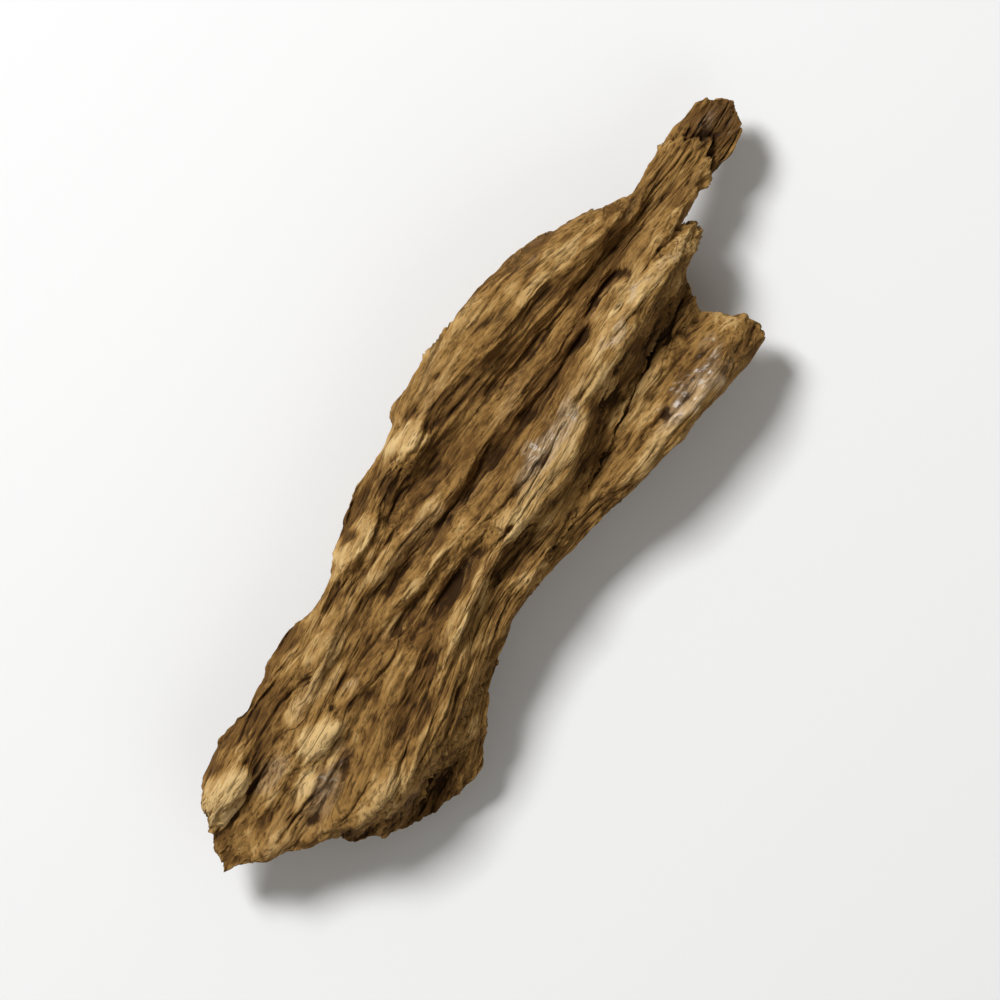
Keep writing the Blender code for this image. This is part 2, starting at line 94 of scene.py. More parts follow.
# Fibre strands: height, length and width of a strand, softness of its edge, tilt along it,
# depth of the seam around it, and seed
STRANDS = (
    (0.08, 6.0, 0.62, 0.22, 0.06, 0.03, 11.0),
    (0.05, 3.6, 0.30, 0.25, 0.03, 0.02, 23.0),
)

# The sway of the strands: its length and width, and how far it goes, in strands
STRAND_SWAY = (9.0, 1.1, 0.2)

# Fine fibres, rounded with sharp seams between them: height, length, width and seed,
# and the share of their height at which their backs are levelled off
FIBRES = ((0.045, 3.6, 0.4, 41.0), (0.035, 2.4, 0.22, 47.0), (0.02, 1.6, 0.12, 53.0))
FIBRE_BACK = 0.7

# Lumps of the torn surface: height, length, width and seed
LUMPS = ((0.07, 2.6, 1.2, 91.0), (0.05, 1.2, 0.6, 97.0), (0.025, 0.55, 0.3, 101.0))

# Cracks along the grain: depth, spacing and width, length of their sways, how far they sway in spacings,
# how much of the surface has them, and seed
CRACKS = ((0.16, 0.95, 0.06, 9.0, 0.8, 0.1, 61.0), (0.09, 0.42, 0.035, 6.0, 0.7, 0.2, 67.0))

# How many lines side by side sway alike, how many cracks break off alike, and how softly a crack ends
SWAY_GROUP = 3.0
BREAK_GROUP = 1.5
BREAK_SOFTNESS = 0.5

# Lines along the grain follow the layers of the wood, which lean this far sideways for each step up
LINE_LEAN = 0.7

# The crisp end of the long splinter's front layer: its place along X, the middle and strength of its bow,
# its drop, and how far the drop runs in the solid and here
STEP_X = 18.8
STEP_MIDDLE = 0.7
STEP_BOW = 0.7
STEP_DROP = 0.6
STEP_RUN = 1.6
STEP_CRISP = 0.3

# How far the fibres of that end stand out or lie back, over what length and width, and their seed
STEP_TORN = (0.45, 2.0, 0.3, 131.0)

# Broken ends: how far single strands stand out or lie back along the grain, the strand value that stays
# in place, and how much of the relief is left there
END_TEAR = 0.3
END_LEVEL = 0.6
END_RELIEF = 0.25

# What a hollow has over this depth is made shallower by this share
HOLLOW_LEVEL = 0.12
HOLLOW_SHARE = 0.4

# Wrinkles of the resin-rich ridges: height, length, width and seed, and how far they slant across the grain
WRINKLES = (0.06, 1.0, 0.4, 71.0)
WRINKLE_SLANT = math.radians(-38)

# Pale crests, partly paler wood and partly painted light on slopes that face the key light:
# strength, where 1 is a plain one, reach towards +Y and towards -Y, and the points of the line
PALE_AND_LIT_LINES = (
    # The rim of the upper side and the rib beside it
    (0.6, 0.35, 0.4, ((0.8, 4.8), (4.0, 4.9), (6.5, 4.7), (8.0, 4.4))),
    (1.0, 0.45, 0.5, ((6.8, 3.3), (8.5, 3.15), (10.0, 2.95), (12.0, 2.7), (13.8, 2.1))),
    # Fine ribs of the middle and of the fan-shaped end
    (0.4, 0.2, 0.2, ((5.4, 1.2), (7.0, 1.15), (9.0, 1.1))),
    (0.9, 0.3, 0.25, ((-8.8, 1.75), (-6.0, 1.6), (-3.5, 1.4), (-1.8, 1.1), (-0.4, 1.0))),
    (0.9, 0.4, 0.35, ((-12.6, 2.3), (-11.0, 2.1), (-9.8, 1.7), (-8.6, 1.4))),
    (1.2, 0.45, 0.4, ((-14.6, 0.9), (-13.0, 0.8), (-11.0, 0.7), (-8.0, 0.95))),
    (1.1, 0.3, 0.3, ((-8.6, -0.3), (-6.5, -0.45), (-4.0, -0.45), (-2.4, -0.6), (-1.0, -0.7))),
    # The wide band of the main ridge and the rib beside it
    (1.5, 0.7, 0.6, ((-2.4, -2.4), (0.5, -2.4), (2.5, -2.5), (4.0, -2.2), (6.0, -1.9), (8.0, -1.45),
                     (9.5, -1.1), (12.0, -1.0), (14.0, -1.35), (15.8, -1.5))),
    (0.8, 0.3, 0.3, ((13.0, 0.1), (14.0, 0.1), (14.8, -0.1), (16.0, 0.1))),
    # The lower splinter
    (0.5, 0.3, 0.5, ((5.0, -3.7), (7.5, -3.8), (10.4, -3.6))),
    (1.2, 0.6, 0.7, ((3.6, -5.2), (5.0, -5.4), (7.0, -5.5), (9.0, -5.7), (11.4, -6.0))),
    # Ribs along the lower rim of the middle
    (0.9, 0.25, 0.3, ((-3.4, -3.7), (-2.0, -4.2), (-0.6, -4.7))),
    (1.1, 0.3, 0.35, ((-8.2, -4.7), (-6.6, -4.2), (-4.4, -3.7))),
    # The ridge towards the fan's lower corner
    (0.8, 0.5, 0.4, ((-15.0, -4.7), (-13.5, -4.6), (-11.5, -4.5), (-10.0, -4.4), (-8.0, -3.9),
                     (-6.2, -3.2))),
    (1.1, 0.4, 0.5, ((-7.8, -3.8), (-6.0, -3.1), (-4.5, -2.75), (-2.6, -2.4), (-0.4, -2.3))),
)

# Dark bottoms of the grooves, partly darker wood and partly painted shade, and painted shade on the rims, in
# the same form
DARK_AND_SHADE_LINES = (
    # Between the ridges and ribs
    (0.6, 0.45, 0.4, ((-2.8, 2.7), (0.5, 2.6), (3.0, 2.6), (7.0, 2.4), (9.0, 1.9), (11.0, 1.3),
                      (13.6, 0.9))),
    (0.8, 0.5, 0.4, ((-3.0, 0.4), (-1.0, 0.3), (1.0, 0.2), (3.0, 0.1), (6.0, 0.05), (8.5, 0.2),
                     (12.8, 0.8))),
    (0.35, 0.25, 0.2, ((4.6, 4.1), (6.0, 4.1), (7.5, 4.0), (9.6, 3.6))),
    (1.0, 0.35, 0.35, ((3.0, -3.05), (4.5, -2.75), (6.5, -2.6), (8.6, -2.6), (10.5, -2.5), (14.0, -2.5))),
    (0.9, 0.3, 0.4, ((-3.6, -3.0), (-2.0, -2.9), (-0.6, -3.0), (0.6, -3.4))),
    (0.8, 0.35, 0.4, ((-8.6, -1.5), (-6.5, -1.95), (-5.0, -1.8), (-3.4, -1.9), (-1.6, -1.6))),
    (1.0, 0.4, 0.35, ((-13.0, -3.7), (-11.5, -3.75), (-10.0, -3.35), (-8.0, -2.8), (-7.0, -2.3),
                      (-5.6, -2.0))),
    (1.2, 0.12, 0.2, ((-20.8, 0.6), (-19.0, 0.6), (-17.5, 0.5), (-16.5, 0.7), (-14.6, 1.1))),
    (0.6, 0.12, 0.15, ((-7.4, 2.0), (-5.5, 1.95), (-3.6, 1.85))),
    (0.8, 0.2, 0.2, ((-6.8, 0.8), (-5.6, 0.65), (-4.4, 0.55))),
    # Painted shade on the rounded rims
    (0.6, 0.8, 0.25, ((-18.0, 2.9), (-14.0, 2.75), (-11.0, 3.2), (-8.0, 3.0), (-5.0, 4.0), (-2.4, 4.5))),
    (0.8, 0.8, 0.35, ((5.6, 5.3), (8.0, 5.0), (10.0, 4.5), (12.0, 3.6), (13.5, 2.6), (15.2, 1.9))),
    (0.7, 0.25, 0.8, ((-7.0, -5.7), (-4.0, -5.0), (-1.0, -5.1), (2.0, -5.5), (5.4, -6.2))),
    (1.0, 0.3, 0.8, ((-18.2, -3.0), (-16.6, -4.4), (-15.4, -5.4), (-14.2, -6.4))),
)

# A line fades out at its ends over this share of its length, and over no more than this length
FADE_SHARE = 0.3
FADE_LENGTH = 1.6

# Patches of pale facets (partly paler wood, partly painted light), greyish resin, and dark places (partly
# darker wood, partly painted shade), from the fan-shaped end to the forked one: strength, place, and reach
# along X and Y
PALE_AND_LIT_PATCHES = (
    (0.7, (-19.0, -0.4), (0.9, 0.5)),
    (2.0, (-18.2, 1.35), (2.0, 0.9)),
    (0.8, (-18.1, -1.9), (1.0, 0.5)),
    (0.6, (-17.6, -2.3), (0.8, 0.4)),
    (0.7, (-16.2, -0.2), (1.6, 0.45)),
    (1.9, (-15.6, -1.4), (1.0, 0.6)),
    (1.2, (-14.3, 0.15), (0.8, 0.35)),
    (0.9, (-13.8, -4.4), (1.3, 0.7)),
    (1.9, (-13.5, -0.8), (1.5, 0.95)),
    (0.7, (-11.6, -1.9), (0.6, 0.4)),
    (1.0, (-11.4, 0.6), (1.0, 0.5)),
    (0.9, (-10.9, -0.6), (0.7, 0.25)),
    (0.7, (-10.9, 2.5), (0.7, 0.3)),
    (1.0, (-9.2, 1.1), (1.1, 0.35)),
    (0.7, (-9.0, -6.2), (0.9, 0.5)),
    (0.5, (-9.0, -1.7), (1.5, 0.5)),
    (1.1, (-9.0, 2.35), (1.0, 0.4)),
    (0.8, (-6.3, -0.5), (0.8, 0.3)),
    (0.9, (-5.9, -4.0), (1.2, 0.6)),
    (1.4, (-5.4, 2.9), (1.5, 0.6)),
    (1.7, (-0.2, 3.8), (1.1, 0.7)),
    (1.3, (2.1, -2.3), (1.0, 0.8)),
    (0.6, (2.2, -3.6), (1.6, 0.4)),
    (0.6, (3.4, 1.6), (1.6, 0.6)),
    (0.5, (3.4, 4.2), (1.8, 0.6)),
    (1.2, (4.4, -1.5), (1.9, 0.5)),
    (1.1, (6.1, -5.4), (1.1, 0.5)),
    (1.5, (6.2, -1.8), (2.0, 0.6)),
    (0.5, (6.2, 2.2), (1.0, 0.4)),
    (0.8, (7.2, -4.6), (1.6, 0.5)),
    (0.8, (7.2, -3.35), (1.7, 0.35)),
    (1.2, (10.9, -0.35), (2.0, 0.5)),
    (0.6, (11.2, 1.6), (1.0, 0.4)),
    (0.7, (11.4, 2.8), (1.6, 0.5)),
    (0.9, (12.7, -4.8), (0.5, 0.9)),
    (0.4, (16.2, 0.9), (1.6, 0.7)),
)
RESIN_PATCHES = (
    (0.4, (-15.6, -0.1), (1.2, 0.5)),
    (0.65, (-14.2, -2.1), (1.9, 0.8)),
    (0.4, (-10.8, -0.7), (0.8, 0.3)),
    (1.0, (3.8, -1.5), (2.4, 0.7)),
    (1.0, (9.1, -5.3), (1.9, 0.75)),
    (0.8, (9.3, -1.2), (0.9, 0.35)),
    (0.4, (9.8, 4.4), (1.6, 0.5)),
    (0.6, (10.0, -6.1), (1.1, 0.4)),
    (0.6, (11.2, -5.0), (1.0, 0.7)),
    (0.9, (11.4, -0.85), (0.9, 0.25)),
    (0.5, (13.4, -1.0), (1.4, 0.4)),
    (0.5, (19.9, 0.4), (1.2, 1.2)),
)
# Dark places: partly darker wood and partly painted shade on flanks, edges and ends that face away from the
# light
DARK_AND_SHADE_PATCHES = (
    (0.8, (-16.8, 2.9), (1.6, 0.4)),
    (0.9, (-16.6, -2.6), (0.6, 0.3)),
    (0.6, (-15.5, 1.3), (0.8, 0.4)),
    (0.8, (-13.4, -6.3), (2.8, 0.7)),
    (0.7, (-13.2, 2.3), (1.2, 0.5)),
    (0.9, (-10.2, -4.1), (1.6, 0.4)),
    (0.6, (-8.2, 3.0), (1.6, 0.4)),
    (1.3, (-6.5, -2.25), (1.0, 0.35)),
    (0.6, (-4.5, -2.15), (2.2, 0.25)),
    (1.4, (-4.4, 4.0), (1.4, 0.5)),
    (0.8, (-2.3, 3.4), (0.9, 0.6)),
    (0.6, (-1.4, 2.0), (0.8, 0.4)),
    (0.9, (0.4, 2.6), (1.8, 0.5)),
    (0.8, (2.2, 3.3), (0.9, 0.6)),
    (0.6, (4.2, -3.4), (1.0, 0.45)),
    (0.7, (9.2, 4.6), (2.2, 0.4)),
    (0.6, (10.6, -5.8), (0.8, 0.5)),
    (0.8, (10.8, -2.6), (2.4, 0.5)),
    (0.6, (12.4, -6.2), (1.0, 0.8)),
    (0.6, (12.7, -0.3), (0.7, 0.35)),
    (0.6, (13.2, -0.9), (0.8, 0.4)),
    (0.6, (13.6, -1.8), (1.2, 0.35)),
    (1.1, (20.2, 0.4), (1.4, 1.4)),
)

# Torn facets that rise towards a crisp lower edge: height, how far back they rise, and the points of the edge
LIPS = (
    (0.16, 1.0, ((-19.7, 0.95), (-18.6, 0.8), (-17.2, 0.75), (-15.8, 1.05))),
    (0.12, 0.8, ((-14.8, -0.9), (-13.6, -1.15), (-12.6, -1.1), (-11.8, -0.8))),
    (0.08, 0.5, ((-16.0, -1.6), (-15.3, -1.7), (-14.5, -1.6))),
    (0.14, 0.7, ((-6.9, 2.45), (-5.4, 2.3), (-4.2, 2.25), (-3.0, 2.4))),
    (0.12, 0.7, ((-1.4, 3.45), (-0.2, 3.2), (1.1, 3.4))),
)

# How wide the drop at such an edge is, and how far from its ends it fades out
LIP_DROP = 0.2
LIP_END = 0.6

# How far the outlines of lines, patches and facets wander, over what length and width, and their seed
RAGGED = (0.32, 1.1, 0.45, 121.0)

# How firm the edge of a patch is: 1 is a soft one
PATCH_EDGE = 1.7

# How far pale crests rise and dark grooves sink in the fine surface, and how much calmer pale facets are
PALE_RISE = 0.03
DARK_SINK = 0.03
PALE_CALM = 0.5

# Small glossy spots of resin: their length and width in millimetres
GLINTS = (0.7, 0.25)

# How many rounds of levelling tell the fine relief and the broad relief, and the heights that count as full
FINE_ROUNDS = 8
BROAD_ROUNDS = 90
FINE_FULL = 0.045
BROAD_FULL = 0.22

# Colour marks drawn out along the grain: length and width, detail and roughness of their noise,
# its start, and the values at which a mark begins and is full
VEINS = (9.0, 1.5, 3.0, 0.5, 0.0, 0.36, 0.64)
BLOTCHES = (3.4, 0.9, 2.0, 0.5, 0.0, 0.3, 0.7)
MOTTLES = (1.7, 0.34, 3.0, 0.5, 2.0, 0.28, 0.68)
STREAKS = (4.0, 0.4, 5.0, 0.6, 0.0, 0.36, 0.64)
THREADS = (1.8, 0.12, 4.0, 0.6, 0.0, 0.36, 0.64)
SPECKS = (0.3, 0.1, 3.0, 0.6, 0.0, 0.36, 0.64)
PORES = (0.8, 0.08, 1.0, 0.5, 8.0, 0.6, 0.7)
# Painted glints: pale flecks on the resin
PAINTED_GLINT_MARKS = (0.6, 0.2, 2.0, 0.5, 6.0, 0.58, 0.68)

# Thin broken lines along the grain: spacing and width, length of their sways, how far they sway in spacings,
# and the start of their noise
SEAMS = (0.45, 0.035, 7.0, 2.0, 4.0)
HAIRS = (0.2, 0.03, 4.0, 2.0, 9.0)

# Colours of the wood from dark to light, picked by a lightness that holds painted light on crests and lit
# facets and painted shade in hollows. Each lighter one has the lightness at which it begins and is full.
BROWN = (0.13, 0.064, 0.0165, 1.0)
GOLDEN = (0.285, 0.157, 0.045, 1.0)
PALE = (0.455, 0.288, 0.11, 1.0)
BRIGHT = (0.59, 0.407, 0.18, 1.0)
LIGHTER = ((GOLDEN, 0.25, 0.6), (PALE, 0.56, 0.9), (BRIGHT, 0.86, 1.2))

# Colours of its resin, of the painted glints on it, of dark seams and pores, and of the painted shade in
# grooves
DARK_RESIN = (0.13, 0.092, 0.06, 1.0)
PALE_RESIN = (0.43, 0.315, 0.2, 1.0)
PAINTED_GLINT = (0.56, 0.53, 0.47, 1.0)
DARK = (0.024, 0.012, 0.003, 1.0)
SHADE = (0.2, 0.16, 0.12, 1.0)

# Depth of the finest fibres, in millimetres
BUMP_DEPTH = 0.05

# The camera: side of the frame, lens and sensor in millimetres, and the turn of the chip in the picture
FRAME_SIDE = 45.0
LENS = 300.0
SENSOR = 36.0
TURN = math.radians(55)

# The room: lights in metres and watts, the even light around them, and the floor
KEY_FROM = (0.17, 0.98, 1.2)
KEY_DISTANCE = 0.4
KEY_SIZE = 0.12
KEY_POWER = 1.75
FILL_FROM = (-0.3, -0.9, 0.8)
FILL_POWER = 0.22
FILL_SIZE = 0.3
WORLD_LIGHT = 0.24
WORLD_COLOUR = (1.0, 0.95, 0.87, 1.0)
FLOOR_COLOUR = (0.79, 0.8, 0.81, 1.0)
FLOOR_ROUGHNESS = 0.9
FLOOR_SIDE = 3.0

# The floor lies this much below the chip, in millimetres, so that their faces don't fall in one plane
FLOOR_DROP = 0.01


def curve(points, x):
    """Height at x of a smooth line through the points, which run from left to right."""
    xs, ys = np.array(points, float).T
    slopes = np.gradient(ys, xs)
    k = np.clip(np.searchsorted(xs, x) - 1, 0, len(xs) - 2)
    run = xs[k + 1] - xs[k]
    t = np.clip((x - xs[k]) / run, 0.0, 1.0)
    start = ys[k] * (1 + 2 * t) + run * slopes[k] * t
    end = ys[k + 1] * (3 - 2 * t) + run * slopes[k + 1] * (t - 1)
    return start * (1 - t) ** 2 + end * t ** 2


def ramp(value, begins, full):
    """A soft step from 0 where it begins to 1 where it is full."""
    t = np.clip((value - begins) / (full - begins), 0.0, 1.0)
    return t * t * (3 - 2 * t)


def rough(x, y, z):
    """Smooth random values between about -1 and 1, the same on each run."""
    places = np.broadcast(x, y, z)
    return 2.0 * np.array([noise.noise(place) for place in places])


def drawn_out(places, long, wide, seed):
    """Smooth random values between about -1 and 1, drawn out along the first axis of the places."""
    return rough(places[:, 0] / long, places[:, 1] / wide, places[:, 2] / wide + seed)


def scattered(points):
    """A value from 0 to 1 for each point, unlike that of its neighbours."""
    return np.modf(np.abs(np.sin(points @ SCATTER) * SCATTER_GAIN))[0]


def across_grain(x, y):
    """Where a point lies across the grain, in millimetres from the lower side."""
    marks = np.array(list(GRAIN_FIBRES))
    guides = np.array([curve(tuple(zip(GRAIN_STATIONS, ys)), x) for ys in GRAIN_FIBRES.values()])
    return GRAIN_WIDTH * np.array([np.interp(py, guides[:, i], marks) for i, py in enumerate(y)])


def grain_places(points):
    """Where points lie along the grain, across it and in height."""
    return np.column_stack([points[:, 0], across_grain(points[:, 0], points[:, 1]), points[:, 2]])


def welded_solid():
    """The frame's solid as one closed mesh in the drawing's millimetres, its flat face in small pieces."""
    mesh = bmesh.new()
    mesh.from_mesh(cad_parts[NODE].data)
    mesh.transform(Matrix.Translation(DRAWING_SHIFT) @ Matrix.Scale(1 / MM, 4))
    bmesh.ops.remove_doubles(mesh, verts=mesh.verts, dist=WELD)
    for _ in range(FLAT_ROUNDS):
        flat = [edge for edge in mesh.edges if max(vert.co.z for vert in edge.verts) < WELD]
        bmesh.ops.subdivide_edges(mesh, edges=[e for e in flat if e.calc_length() > FLAT_EDGE], cuts=1)
        bmesh.ops.triangulate(mesh, faces=[face for face in mesh.faces if len(face.verts) > 3])
    bmesh.ops.recalc_face_normals(mesh, faces=mesh.faces)
    crease = mesh.edges.layers.float.new("crease_edge")
    for edge in mesh.edges:
        edge[crease] = float(ramp(edge.calc_face_angle(0.0), *CRISP_BENDS))
    return mesh


def refined_object(name):
    """A finely divided copy of the solid, as an object."""
    mesh = bpy.data.meshes.new(name)
    solid = welded_solid()
    solid.to_mesh(mesh)
    solid.free()
    refined = bpy.data.objects.new(name, mesh)
    bpy.context.scene.collection.objects.link(refined)
    fine = refined.modifiers.new("fine", "SUBSURF")
    fine.levels = fine.render_levels = FINE_LEVELS
    shown = refined.evaluated_get(bpy.context.evaluated_depsgraph_get())
    refined.data = bpy.data.meshes.new_from_object(shown)
    refined.modifiers.clear()
    bpy.data.meshes.remove(mesh)
    return refined


def values_of(items, key, width, kind=float):
    """The values of a mesh's vertices or edges, one row for each."""
    out = np.empty(len(items) * width, kind)
    items.foreach_get(key, out)
    return out.reshape(-1, width)


def levelled(points, edges, rounds):
    """The points, each moved halfway to the mean of its neighbours for so many rounds."""
    ends = np.concatenate([edges, edges[:, ::-1]])
    count = np.bincount(ends[:, 0], minlength=len(points))[:, None]
    for _ in range(rounds):
        total = [np.bincount(ends[:, 0], points[ends[:, 1], k], len(points)) for k in range(3)]
        points = (points + np.stack(total, 1) / count) / 2
    return points


def stand(points, normals, edges, rounds):
    """How far each point stands above its surroundings, or below them where negative."""
    return ((points - levelled(points, edges, rounds)) * normals).sum(1)


def strands(grain, height, long, wide, soft, tilt, seam, seed):
    """Relief of strands that lie side by side and end in small steps, and one random value a strand."""
    sway_long, sway_wide, reach = STRAND_SWAY
    sway = reach * drawn_out(grain, sway_long, sway_wide, seed)
    place = grain / (long, wide, wide) + np.stack([sway, sway, -sway], 1) + seed
    # The two strands nearest to each point: how far off they are, and where their middles lie
    found = [noise.voronoi(p) for p in place]
    near = np.array([f[0][:2] for f in found])
    first = np.array([f[1][0] for f in found])
    second = np.array([f[1][1] for f in found])
    between = near[:, 1] - near[:, 0]
    lift = [scattered(c) - 0.5 + tilt / height * (place - c)[:, 0] for c in (first, second)]
    share = ramp(between, -soft, soft)
    relief = height * (lift[0] * share + lift[1] * (1 - share))
    return relief - seam * np.exp(-(between / soft) ** 2), scattered(first)


def cracks(grain, depth, apart, wide, long, sway, amount, seed):
    """Depth of the thin cracks along the grain."""
    across = (grain[:, 1] + LINE_LEAN * grain[:, 2]) / apart
    drift = sway * rough(grain[:, 0] / long, across / SWAY_GROUP, seed)
    away = np.abs((across + drift) % 1.0 - 0.5) * apart
    here = rough(grain[:, 0] * 2 / long, across / BREAK_GROUP, -seed)
    return depth * np.exp(-(away / wide) ** 2) * ramp(here + amount, 0.0, BREAK_SOFTNESS)


def fibre_relief(grain):
    """Relief of the fine fibres, the lumps and the cracks."""
    relief = np.zeros(len(grain))
    for height, *form in FIBRES:
        backs = np.minimum(np.abs(drawn_out(grain, *form)), FIBRE_BACK)
        relief += height * (2 * backs - FIBRE_BACK)
    for height, *form in LUMPS:
        relief += height * drawn_out(grain, *form)
    for crack in CRACKS:
        relief -= cracks(grain, *crack)
    return relief


def wrinkles(points):
    """Relief of the wrinkles that slant across the grain."""
    height, *form = WRINKLES
    slanted = points @ np.array(Matrix.Rotation(WRINKLE_SLANT, 3, "Z"))
    return height * drawn_out(slanted, *form)


def crisp_step(points):
    """How much lower the surface lies at the long splinter's step when its front layer ends crisply."""
    reach, long, wide, seed = STEP_TORN
    past = points[:, 0] - STEP_X + STEP_BOW * (points[:, 1] - STEP_MIDDLE) ** 2
    past += reach * rough(points[:, 0] / long, points[:, 1] / wide, seed)
    return STEP_DROP * (ramp(past, -STEP_CRISP / 2, STEP_CRISP / 2) - ramp(past, -STEP_RUN / 2, STEP_RUN / 2))


def ragged(points):
    """The places of points as seen from above, moved about a little so that outlines get uneven."""
    reach, long, wide, seed = RAGGED
    x, y, _ = points.T
    return x + reach * rough(x / long, y / wide, seed), y + reach * rough(x / long, y / wide, -seed)


def patches(plan, listed):
    """How strongly each point lies in one of the patches, 0 being outside them all."""
    x, y = plan
    total = np.zeros(len(x))
    for strength, (px, py), (reach_x, reach_y) in listed:
        off = ((x - px) / reach_x) ** 2 + ((y - py) / reach_y) ** 2
        total = np.maximum(total, strength * np.exp(-off ** PATCH_EDGE))
    return total


def lines(plan, listed):
    """How strongly each point lies on one of the lines, 0 being away from them all."""
    x, y = plan
    total = np.zeros(len(x))
    for strength, reach_up, reach_down, line in listed:
        off = y - curve(line, x)
        first, last = line[0][0], line[-1][0]
        fade = min(FADE_LENGTH, FADE_SHARE * (last - first))
        ends = ramp(x, first, first + fade) * ramp(x, last, last - fade)
        reach = np.where(off > 0, reach_up, reach_down)
        total = np.maximum(total, strength * ends * np.exp(-(off / reach) ** 2))
    return total


def lips(plan):
    """Height of the facets that rise towards a crisp lower edge."""
    x, y = plan
    total = np.zeros(len(x))
    for height, back, line in LIPS:
        above = y - curve(line, x)
        first, last = line[0][0], line[-1][0]
        ends = ramp(x, first, first + LIP_END) * ramp(x, last, last - LIP_END)
        total += height * ends * ramp(above, 0.0, LIP_DROP) * np.exp(-np.maximum(above, 0.0) / back)
    return total


def store(mesh, name, values):
    """Keeps a value or a vector for each vertex, for the material to read."""
    kind, key = ("FLOAT", "value") if values.ndim == 1 else ("FLOAT_VECTOR", "vector")
    mesh.attributes.new(name, kind, "POINT").data.foreach_set(key, values.astype(np.float32).ravel())


def torn_surface():
    """The whole chip with its strands, fibres, cracks and wrinkles, and what the material needs of them."""
    chip = refined_object("split_wood")
    mesh = chip.data
    points = values_of(mesh.vertices, "co", 3)
    normals = values_of(mesh.vertices, "normal", 3)
    edges = values_of(mesh.edges, "vertices", 2, int)

    grain = grain_places(points)
    plan = ragged(points)
    upper = ramp(normals[:, 2], *UPPER_FACING)
    end = ramp(np.abs(normals[:, 0]), *END_FACING)
    # Pale crests and facets, partly painted light, and dark grooves, rims and places, partly painted shade,
    # on the upper side
    pale_and_lit = upper * np.maximum(lines(plan, PALE_AND_LIT_LINES), patches(plan, PALE_AND_LIT_PATCHES))
    dark_and_shade = upper * np.maximum(lines(plan, DARK_AND_SHADE_LINES), patches(plan, DARK_AND_SHADE_PATCHES))
    resin = upper * patches(plan, RESIN_PATCHES)

    # Hollows made shallower and the strands, both calmer on pale facets. Then all that is finer.
    layers = [strands(grain, *form) for form in STRANDS]
    hollow = -stand(points, normals, edges, BROAD_ROUNDS)
    relief = HOLLOW_SHARE * np.maximum(hollow - HOLLOW_LEVEL, 0.0) + sum(bumps for bumps, _ in layers)
    relief *= 1 - PALE_CALM * pale_and_lit
    relief += fibre_relief(grain) + PALE_RISE * pale_and_lit - DARK_SINK * dark_and_shade + resin * wrinkles(points)
    relief += upper * (lips(plan) - crisp_step(points))
    relief *= 1 - (1 - END_RELIEF) * end

    # On the broken ends single strands stand out or lie back along the grain
    tints = [tint for _, tint in layers]
    moved = points + normals * relief[:, None]
    moved[:, 0] += END_TEAR * end * np.sign(normals[:, 0]) * (tints[-1] - END_LEVEL)
    # Nothing reaches below the surface that the chip lies on
    moved[:, 2] = np.maximum(moved[:, 2], 0.0)

    fine = stand(moved, normals, edges, FINE_ROUNDS) / FINE_FULL
    broad = stand(moved, normals, edges, BROAD_ROUNDS) / BROAD_FULL
    store(mesh, "grain", grain)
    store(mesh, "fine", np.clip(0.5 + fine / 2, 0, 1))
    store(mesh, "broad", np.clip(0.5 + broad / 2, 0, 1))
    store(mesh, "strand", sum(tints) / len(tints))
    store(mesh, "resin", resin)
    store(mesh, "pale_and_lit", pale_and_lit)
    store(mesh, "dark_and_shade", dark_and_shade)

    mesh.vertices.foreach_set("co", ((moved - DRAWING_SHIFT) * MM).ravel())
    mesh.update()
    mesh.shade_smooth()
    return chip


class Value:
    """A number that changes over the surface. Python's operators on it add Math nodes."""

    def __init__(self, material, socket):
        self.material = material
        self.socket = socket

    def maths(self, operation, first, second):
        """A Math node on two values or numbers."""
        return self.material.node("ShaderNodeMath", {"operation": operation}, {0: first, 1: second})

    def __add__(self, other):
        return self.maths("ADD", self, other)

    def __sub__(self, other):
        return self.maths("SUBTRACT", self, other)

    def __rsub__(self, other):
        return self.maths("SUBTRACT", other, self)

    def __mul__(self, other):
        return self.maths("MULTIPLY", self, other)

    __radd__ = __add__
    __rmul__ = __mul__


